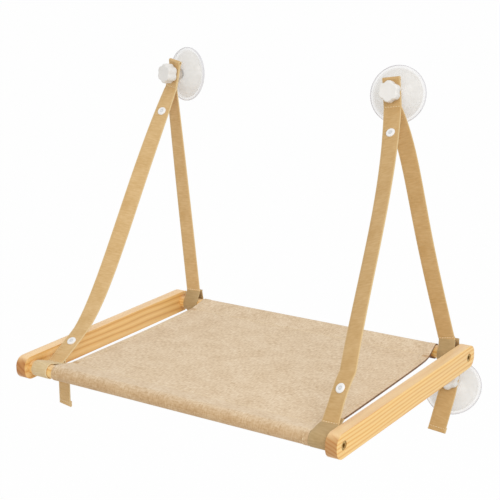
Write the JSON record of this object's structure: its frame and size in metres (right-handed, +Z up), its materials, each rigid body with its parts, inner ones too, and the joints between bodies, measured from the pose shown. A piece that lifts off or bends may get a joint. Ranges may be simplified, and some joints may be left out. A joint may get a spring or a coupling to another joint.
{
  "type": "window cat hammock",
  "caption": "Window-mounted cat perch: a linen sling on a pine rail-and-dowel frame, hung on webbing straps from screw-on suction cups, with a frame that folds up to the window.",
  "frame": {"origin": "on the window plane, midway between the side rails, level with the dowel axes", "axes": "+X to the right as seen from the room, +Y into the window, +Z up"},
  "size_m": [0.5055, 0.3807, 0.4728],
  "materials": {
    "pine": "clear satin varnish",
    "linen": "plain weave",
    "webbing": "close plain weave",
    "snap_plastic": "gloss",
    "clear_vinyl": "clear gloss",
    "knob_plastic": "satin",
    "stud_steel": "zinc plated",
    "brass": "antique brass"
  },
  "bodies": {
    "hanger": {"left_rear_leg": "webbing", "right_rear_leg": "webbing", "left_front_leg": "webbing", "right_front_leg": "webbing", "left_high_snap": "snap_plastic", "right_high_snap": "snap_plastic"},
    "frame": {"left_rail": "pine", "right_rail": "pine", "front_dowel": "pine", "rear_dowel": "pine", "frame_screws": "brass", "dowel_inserts": "brass", "sling": "linen", "left_front_loop": "webbing", "right_front_loop": "webbing", "left_front_tail": "webbing", "left_low_snap": "snap_plastic", "right_low_snap": "snap_plastic"},
    "left_upper_cup_set": {"left_upper_cup": "clear_vinyl", "left_upper_stud": "stud_steel", "left_top_fold": "webbing"},
    "left_upper_nut": {"left_upper_knob_insert": "brass"},
    "left_upper_grip": {"left_upper_knob": "knob_plastic"},
    "right_upper_cup_set": {"right_upper_cup": "clear_vinyl", "right_upper_stud": "stud_steel", "right_top_fold": "webbing"},
    "right_upper_nut": {"right_upper_knob_insert": "brass"},
    "right_upper_grip": {"right_upper_knob": "knob_plastic"},
    "left_lower_cup_set": {"left_lower_cup": "clear_vinyl", "left_lower_stud": "stud_steel", "left_lower_strap": "webbing"},
    "left_lower_nut": {"left_lower_knob_insert": "brass"},
    "left_lower_grip": {"left_lower_knob": "knob_plastic"},
    "right_lower_cup_set": {"right_lower_cup": "clear_vinyl", "right_lower_stud": "stud_steel", "right_lower_strap": "webbing"},
    "right_lower_nut": {"right_lower_knob_insert": "brass"},
    "right_lower_grip": {"right_lower_knob": "knob_plastic"}
  },
  "joints": [
    {"name": "frame_fold", "type": "hinge", "parent": "hanger", "child": "frame", "pos_m": [0, -0.026, 0], "axis": [-1, 0, 0], "range_deg": [0, 75], "deforming": ["left_front_leg", "right_front_leg"]},
    {"name": "left_upper_cup_tilt", "type": "hinge", "parent": "hanger", "child": "left_upper_cup_set", "pos_m": [-0.227, -0.026, 0.34], "axis": [0.4526, 0, 0.8917], "range_deg": [0, 15.62]},
    {"name": "left_upper_knob_travel", "type": "slide", "parent": "left_upper_cup_set", "child": "left_upper_nut", "axis": [-0.2401, -0.9631, 0.1219], "range_m": [0, 0.00501]},
    {"name": "left_upper_knob_turn", "type": "hinge", "parent": "left_upper_nut", "child": "left_upper_grip", "pos_m": [-0.227, -0.026, 0.34], "axis": [-0.2401, -0.9631, 0.1219], "range_deg": [0, 1800]},
    {"name": "right_upper_cup_tilt", "type": "hinge", "parent": "hanger", "child": "right_upper_cup_set", "pos_m": [0.124, -0.026, 0.337], "axis": [0.8471, 0, -0.5315], "range_deg": [0, 16.59]},
    {"name": "right_upper_knob_travel", "type": "slide", "parent": "right_upper_cup_set", "child": "right_upper_nut", "axis": [0.1518, -0.9583, 0.2419], "range_m": [0, 0.00501]},
    {"name": "right_upper_knob_turn", "type": "hinge", "parent": "right_upper_nut", "child": "right_upper_grip", "pos_m": [0.124, -0.026, 0.337], "axis": [0.1518, -0.9583, 0.2419], "range_deg": [0, 1800]},
    {"name": "left_lower_cup_tilt", "type": "hinge", "parent": "hanger", "child": "left_lower_cup_set", "pos_m": [-0.213, -0.02525, -0.038], "axis": [0.9793, 0, 0.2027], "range_deg": [0, 41.03]},
    {"name": "left_lower_knob_travel", "type": "slide", "parent": "left_lower_cup_set", "child": "left_lower_nut", "axis": [-0.133, -0.7544, 0.6428], "range_m": [0, 0.00201]},
    {"name": "left_lower_knob_turn", "type": "hinge", "parent": "left_lower_nut", "child": "left_lower_grip", "pos_m": [-0.213, -0.02525, -0.038], "axis": [-0.133, -0.7544, 0.6428], "range_deg": [0, 720]},
    {"name": "right_lower_cup_tilt", "type": "hinge", "parent": "hanger", "child": "right_lower_cup_set", "pos_m": [0.213, -0.02525, -0.038], "axis": [0.9793, 0, -0.2027], "range_deg": [0, 41.03]},
    {"name": "right_lower_knob_travel", "type": "slide", "parent": "right_lower_cup_set", "child": "right_lower_nut", "axis": [0.133, -0.7544, 0.6428], "range_m": [0, 0.00201]},
    {"name": "right_lower_knob_turn", "type": "hinge", "parent": "right_lower_nut", "child": "right_lower_grip", "pos_m": [0.213, -0.02525, -0.038], "axis": [0.133, -0.7544, 0.6428], "range_deg": [0, 720]}
  ],
  "couplings": [
    {"joint": "left_upper_knob_travel", "follows": "left_upper_knob_turn", "m_per_rad": 0.00015915},
    {"joint": "right_upper_knob_travel", "follows": "right_upper_knob_turn", "m_per_rad": 0.00015915},
    {"joint": "left_lower_knob_travel", "follows": "left_lower_knob_turn", "m_per_rad": 0.00015915},
    {"joint": "right_lower_knob_travel", "follows": "right_lower_knob_turn", "m_per_rad": 0.00015915}
  ]
}
